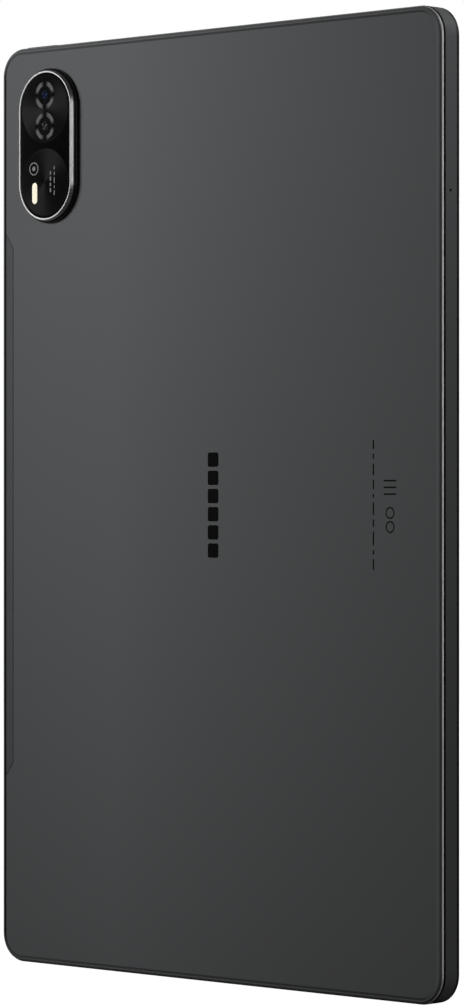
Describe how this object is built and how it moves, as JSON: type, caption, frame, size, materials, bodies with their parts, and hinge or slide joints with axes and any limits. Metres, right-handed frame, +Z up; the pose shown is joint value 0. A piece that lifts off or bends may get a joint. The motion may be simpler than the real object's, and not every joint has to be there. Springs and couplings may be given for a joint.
{
  "type": "tablet computer",
  "caption": "Slim tablet computer standing on its short edge: metal shell with a raised stadium camera island, glass front, sprung keys and a card tray with its own ejector.",
  "frame": {"origin": "middle of the lower short edge's outline, with Y = 0 midway between the screen's face and the top of the camera island", "axes": "+Z up along the long side, +X across the width toward the edge that carries the camera island and the pen strip, +Y out of the back; the screen faces -Y"},
  "size_m": [0.1824, 0.0102, 0.2804],
  "materials": {
    "shell_metal": "matt bead-blasted anodised dark grey with a bright diamond-cut edge",
    "strip_window": "matt dark grey radio-clear inlay",
    "frame_polymer": "fine matt black polymer",
    "cover_glass": "polished cover glass over a black printed border",
    "display_film": "gloss black display layers",
    "light_guide": "white reflector pan",
    "foam": "closed-cell foam",
    "frame_metal": "stamped sheet, satin",
    "screw_steel": "plated steel",
    "island_base": "dark anodised, satin",
    "island_trim": "polished bevelled metal",
    "camera_glass": "polished dark glass",
    "decor_dark": "dark decor film with a spun sheen",
    "lens_ring": "turned metal ring",
    "lens_glass": "coated lens glass",
    "flash_window": "cream translucent window",
    "module_black": "moulded black",
    "circuit": "solder-masked laminate",
    "shield_tin": "tinned sheet",
    "chip": "moulded resin",
    "battery_film": "black film over pouch cell",
    "adhesive": "white stretch film",
    "flex": "polyimide film",
    "mesh": "woven steel mesh",
    "connector_steel": "drawn steel",
    "contact_gold": "gold-plated contacts",
    "key_metal": "matt anodised to match the shell",
    "seal_rubber": "silicone",
    "magnet": "nickel-plated",
    "coil_copper": "wound copper"
  },
  "bodies": {
    "tablet": {"rear_shell": "shell_metal", "pen_strip_window": "strip_window", "front_frame": "frame_polymer", "front_glass": "cover_glass", "lcd_panel": "display_film", "backlight_unit": "light_guide", "display_cushion": "foam", "mid_frame": "frame_metal", "frame_screws": "screw_steel", "camera_base": "island_base", "camera_trim": "island_trim", "camera_decor": "decor_dark", "camera_glass": "camera_glass", "lens_rings": "lens_ring", "lens_covers": "lens_glass", "flash_lens": "flash_window", "main_camera": "module_black", "second_camera": "module_black", "flash_board": "circuit", "camera_bracket": "frame_metal", "front_camera": "module_black", "mainboard": "circuit", "processor_shield": "shield_tin", "radio_shield": "shield_tin", "board_chips": "chip", "board_screws": "screw_steel", "battery_cell_left": "battery_film", "battery_cell_right": "battery_film", "battery_adhesive": "adhesive", "battery_board": "circuit", "speaker_top_left": "module_black", "speaker_top_right": "module_black", "speaker_bottom_left": "module_black", "speaker_bottom_right": "module_black", "speaker_meshes": "mesh", "usb_c_shell": "connector_steel", "usb_c_tongue": "module_black", "usb_c_contacts": "contact_gold", "usb_board": "circuit", "main_flex": "flex", "display_flex": "flex", "power_switch": "module_black", "power_bracket": "frame_metal", "volume_switches": "module_black", "volume_bracket": "frame_metal", "rocker_pin": "screw_steel", "card_reader": "connector_steel", "side_microphone": "module_black", "vibration_motor": "connector_steel", "pen_charging_coil": "coil_copper", "edge_magnets": "magnet", "antenna_strips": "flex"},
    "power_key": {"power_button": "key_metal"},
    "volume_key": {"volume_rocker": "key_metal"},
    "card_tray": {"sim_tray": "key_metal", "tray_seal": "seal_rubber"},
    "eject_rod": {"eject_pin": "screw_steel"},
    "eject_lever": {"eject_lever": "screw_steel"},
    "tray_slider": {"eject_slider": "module_black"}
  },
  "joints": [
    {"name": "power_press", "type": "slide", "parent": "tablet", "child": "power_key", "axis": [0, 0, -1], "range_m": [0, 0.0003], "stiffness_N_per_m": 6000},
    {"name": "volume_rock", "type": "hinge", "parent": "tablet", "child": "volume_key", "pos_m": [0.0885, -0.00122, 0.24], "axis": [0, 1, 0], "range_deg": [-1, 1], "stiffness_Nm_per_rad": 0.6},
    {"name": "eject_turn", "type": "hinge", "parent": "tablet", "child": "eject_lever", "pos_m": [-0.065, -0.00122, 0.2517], "axis": [0, 1, 0], "range_deg": [0, 17]},
    {"name": "eject_push", "type": "slide", "parent": "tablet", "child": "eject_rod", "axis": [0, 0, -1], "range_m": [0, 0.0014]},
    {"name": "eject_lift", "type": "slide", "parent": "tablet", "child": "tray_slider", "axis": [0, 0, 1], "range_m": [0, 0.0016]},
    {"name": "tray_pull", "type": "slide", "parent": "tray_slider", "child": "card_tray", "axis": [0, 0, 1], "range_m": [0, 0.022]}
  ],
  "couplings": [
    {"joint": "eject_push", "follows": "eject_lift", "ratio": 0.83333},
    {"joint": "eject_turn", "follows": "eject_lift", "rad_per_m": 185.18}
  ]
}
